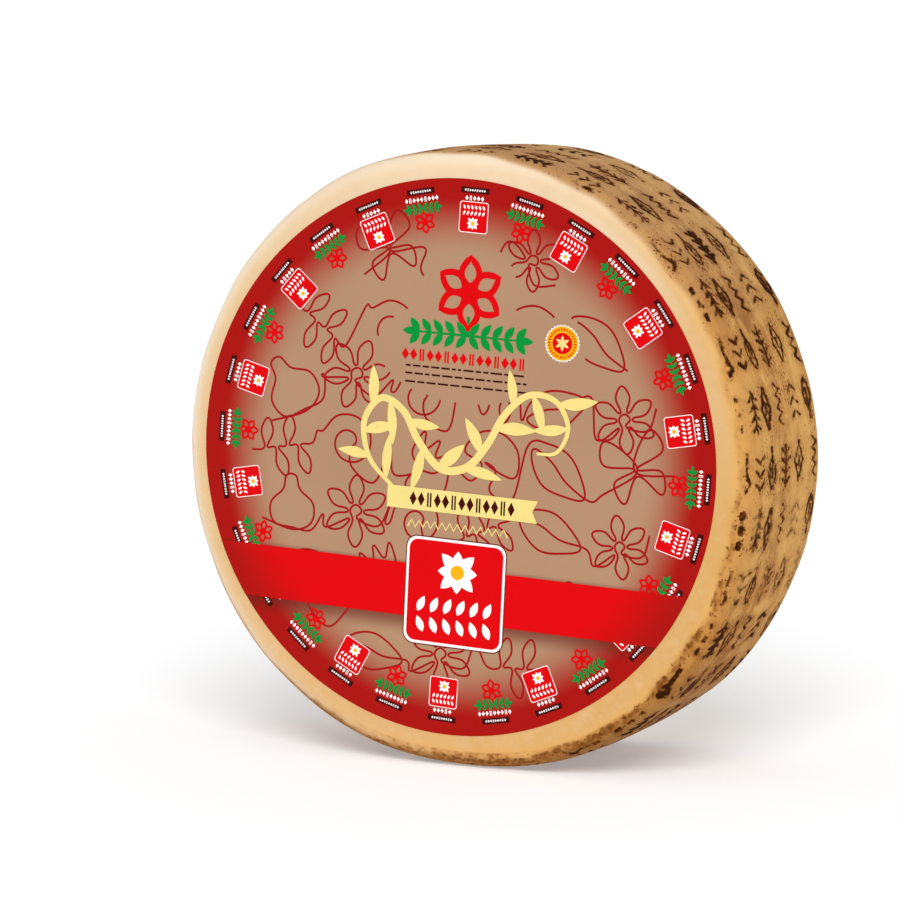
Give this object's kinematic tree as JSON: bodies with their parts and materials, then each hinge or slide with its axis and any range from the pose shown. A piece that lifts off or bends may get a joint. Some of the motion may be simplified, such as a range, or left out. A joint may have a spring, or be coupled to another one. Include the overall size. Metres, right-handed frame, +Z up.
{
  "type": "aged cheese wheel",
  "caption": "Whole wheel of aged cheese standing on its rim, with a golden rind, dark stamped marks round the rim and a round paper label on its front face.",
  "frame": {"origin": "on the ground under the middle of the wheel, halfway through its depth", "axes": "+Z up, Y along the wheel's own axis with the labelled face towards -Y, +X to the right as seen from the labelled face"},
  "size_m": [0.3486, 0.1156, 0.3466],
  "materials": {
    "rind": "satin, slightly waxy golden rind with brown mottling and dark stamped marks",
    "label": "satin printed paper, dark red fading to taupe"
  },
  "bodies": {
    "root": {"cheese_wheel": "rind", "label": "label"}
  },
  "joints": []
}
